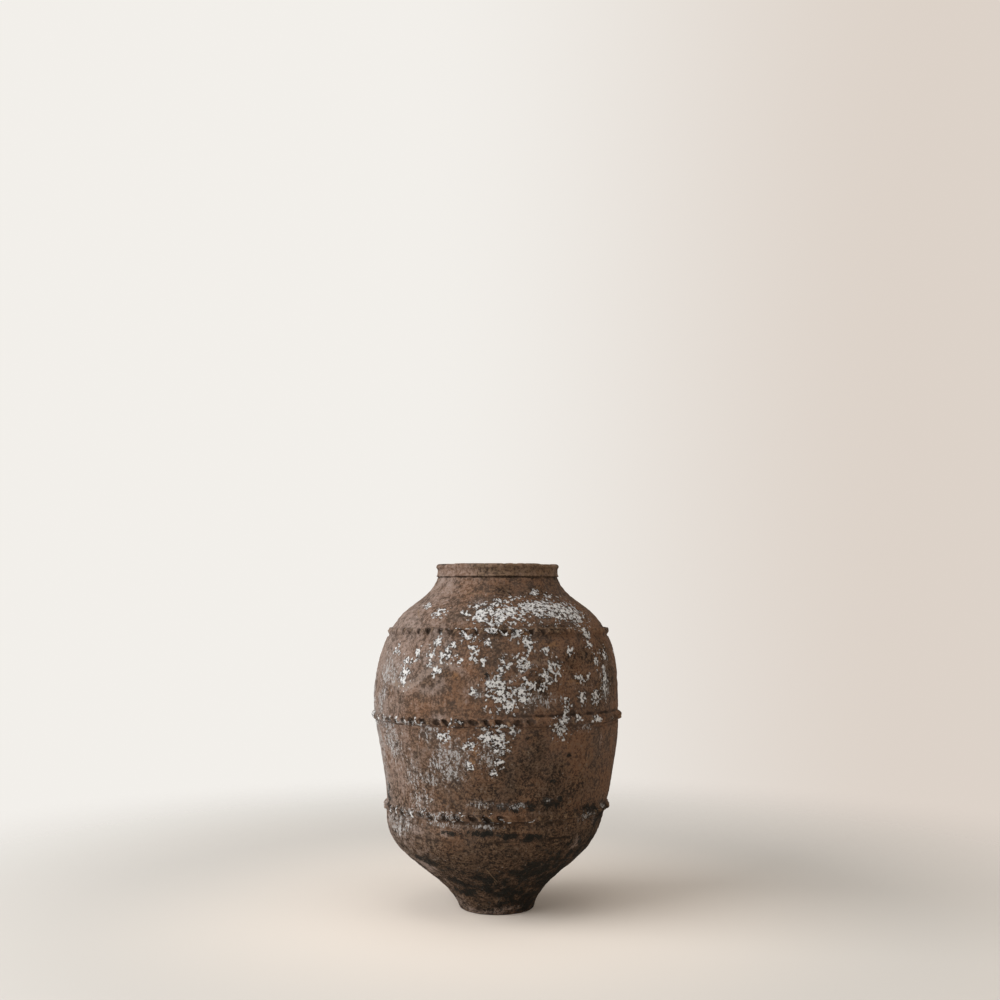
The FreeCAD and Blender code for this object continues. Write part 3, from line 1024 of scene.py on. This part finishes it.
def old_clay(name, limed=True, salted=True):
    """Clay with its layers of age, painted light and painted shade, and plain clay where the mesh
    says that it is the inside.
    """
    clay = Clay(name)
    height = 0.30 * clay.grain + 0.34 * clay.speckle + 0.15 * clay.streak
    height = height + 0.12 * clay.rings + 0.25 * clay.fleck
    colour = chipped(clay, fired_colour_and_light(clay))
    colour, moss_and_shade_cover = moss_and_shade(clay, colour)
    height = height + 0.4 * moss_and_shade_cover
    colour = dirt_shade_and_wear(clay, colour)
    if salted:
        colour = salty(clay, colour)
    scratched = clay.ramp(clay.known("scratch") + 0.4 * clay.grain, 0.3, 0.9)
    colour = clay.mix(scratched * 0.5, colour, TAN)
    if limed:
        colour, flakes = chalky(clay, colour)
        height = height + 1.2 * flakes
    inner = clay.mix(clay.ramp(clay.blotch + clay.speckle, -1.5, 1.5), INNER_CLAY, UMBER)
    colour = clay.mix(1 - clay.known("skin"), colour, inner)

    clay.fill(clay.shader.inputs["Base Color"], colour)
    clay.fill(clay.shader.inputs["Roughness"], 0.84 + 0.05 * clay.grain)
    clay.shader.inputs["Specular IOR Level"].default_value = 0.06
    clay.fill(clay.shader.inputs["Normal"], clay.bump(height, 1.1))
    return clay.material


FINISHES = {
    "sooty_clay": old_clay("sooty_clay", limed=False),
    "stained_clay": old_clay("stained_clay"),
    "limewashed_clay": old_clay("limewashed_clay"),
    "rim_clay": old_clay("rim_clay", limed=False, salted=False),
    "band_clay": old_clay("band_clay"),
}

for node, finish in TIER_FINISHES.items():
    tier(node, finish)
for strip in BANDS:
    band(strip)


# --- Floor, light and camera, in metres -----------------------------------------------------------
FLOOR_SIZE = 8.0
FLOOR_GAP = 0.0004          # the floor lies this far under the foot
LIT_HEIGHT = 0.45           # the lamps point at the axis here


def floor():
    """A pale floor, painted lighter and warmer near the jar, that fades out into the backdrop."""
    bpy.ops.object.select_all(action="DESELECT")
    bpy.ops.mesh.primitive_plane_add(size=FLOOR_SIZE, location=(0, 0, -FLOOR_GAP))
    plane = bpy.context.active_object
    plane.name = "floor"
    paint = Finish("floor paint")
    length = {"operation": "LENGTH"}
    reach = paint.node("ShaderNodeVectorMath", length, {0: paint.place}, output="Value")
    # Painted light: the floor is painted lighter and warmer near the jar, which lifts the jar's
    # shadow on it, and darker further out.
    floor_colour_with_painted_light = paint.mix(paint.ramp(reach, 0.1, 1.1), (0.86, 0.775, 0.69), (0.63, 0.60, 0.56))
    paint.fill(paint.shader.inputs["Base Color"], floor_colour_with_painted_light)
    paint.shader.inputs["Roughness"].default_value = 0.9
    paint.shader.inputs["Specular IOR Level"].default_value = 0.1
    paint.fill(paint.shader.inputs["Alpha"], 1 - paint.ramp(reach, 0.9, 2.3))
    plane.data.materials.append(paint.material)


def backdrop():
    """A dim, even light all round, and a pale wall that only the camera and shiny things see, painted
    lighter on the left and darker to the right.
    """
    world = bpy.data.worlds.new("studio")
    bpy.context.scene.world = world
    world.use_nodes = True
    tree = world.node_tree
    light = tree.nodes["Background"]
    light.inputs["Color"].default_value = (1.0, 0.955, 0.90, 1)
    light.inputs["Strength"].default_value = 0.38
    seen = tree.nodes.new("ShaderNodeBackground")
    seen.inputs["Strength"].default_value = 1
    way = tree.nodes.new("ShaderNodeSeparateXYZ")
    tree.links.new(tree.nodes.new("ShaderNodeTexCoord").outputs["Generated"], way.inputs[0])
    # Painted light: the wall is lighter on the left, towards the window lamp, and darker and warmer
    # to the right.
    wall = tree.nodes.new("ShaderNodeValToRGB")
    wall.color_ramp.interpolation = "EASE"
    wall.color_ramp.elements[0].position = 0.46
    wall.color_ramp.elements[0].color = (0.89, 0.865, 0.825, 1)
    wall.color_ramp.elements[1].position = 0.66
    wall.color_ramp.elements[1].color = (0.72, 0.645, 0.58, 1)
    side = tree.nodes.new("ShaderNodeMapRange")
    side.inputs["From Min"].default_value = -1
    tree.links.new(way.outputs["X"], side.inputs["Value"])
    tree.links.new(side.outputs[0], wall.inputs[0])
    tree.links.new(wall.outputs[0], seen.inputs["Color"])
    ray = tree.nodes.new("ShaderNodeLightPath")
    shown = ray.outputs["Is Camera Ray"]
    for kind in ("Is Glossy Ray", "Is Transmission Ray"):
        either = tree.nodes.new("ShaderNodeMath")
        either.operation = "MAXIMUM"
        tree.links.new(shown, either.inputs[0])
        tree.links.new(ray.outputs[kind], either.inputs[1])
        shown = either.outputs[0]
    mix = tree.nodes.new("ShaderNodeMixShader")
    tree.links.new(shown, mix.inputs[0])
    tree.links.new(light.outputs[0], mix.inputs[1])
    tree.links.new(seen.outputs[0], mix.inputs[2])
    tree.links.new(mix.outputs[0], tree.nodes["World Output"].inputs["Surface"])


def lamp(name, azimuth, elevation, distance, size, level, colour):
    """A soft square lamp that lights the jar's middle at the given level."""
    turn = azimuth * DEGREE
    tip = elevation * DEGREE
    aim = np.array((0, 0, LIT_HEIGHT))
    away = np.array((math.sin(turn) * math.cos(tip), -math.cos(turn) * math.cos(tip), math.sin(tip)))
    data = bpy.data.lights.new(name, "AREA")
    data.shape = "SQUARE"
    data.size = size
    data.color = colour
    data.energy = level * (math.pi * distance) ** 2
    holder = bpy.data.objects.new(name, data)
    holder.location = aim + distance * away
    holder.rotation_euler = (math.pi / 2 - tip, 0, turn)
    holder.visible_camera = False
    bpy.context.scene.collection.objects.link(holder)


def camera(right, distance, height, tilt, focal_length):
    """A camera in front of the jar, tilted up from level by so many degrees."""
    lens = bpy.data.cameras.new("camera")
    lens.lens = focal_length
    lens.sensor_width = 36
    eye = bpy.data.objects.new("camera", lens)
    eye.location = (right, -distance, height)
    eye.rotation_euler = ((90 + tilt) * DEGREE, 0, 0)
    bpy.context.scene.collection.objects.link(eye)
    bpy.context.scene.camera = eye


floor()
backdrop()
lamp("window", azimuth=-68, elevation=20, distance=7.0, size=7.0, level=1.68, colour=(0.97, 0.985, 1))
lamp("fill", azimuth=70, elevation=15, distance=3.6, size=2.0, level=0.24, colour=(1, 0.89, 0.78))
lamp("top", azimuth=-20, elevation=80, distance=3.0, size=2.4, level=0.25, colour=(1, 1, 1))
camera(right=0.00645, distance=3.225, height=0.796, tilt=4.118, focal_length=45)
bpy.context.scene.view_settings.view_transform = "Standard"
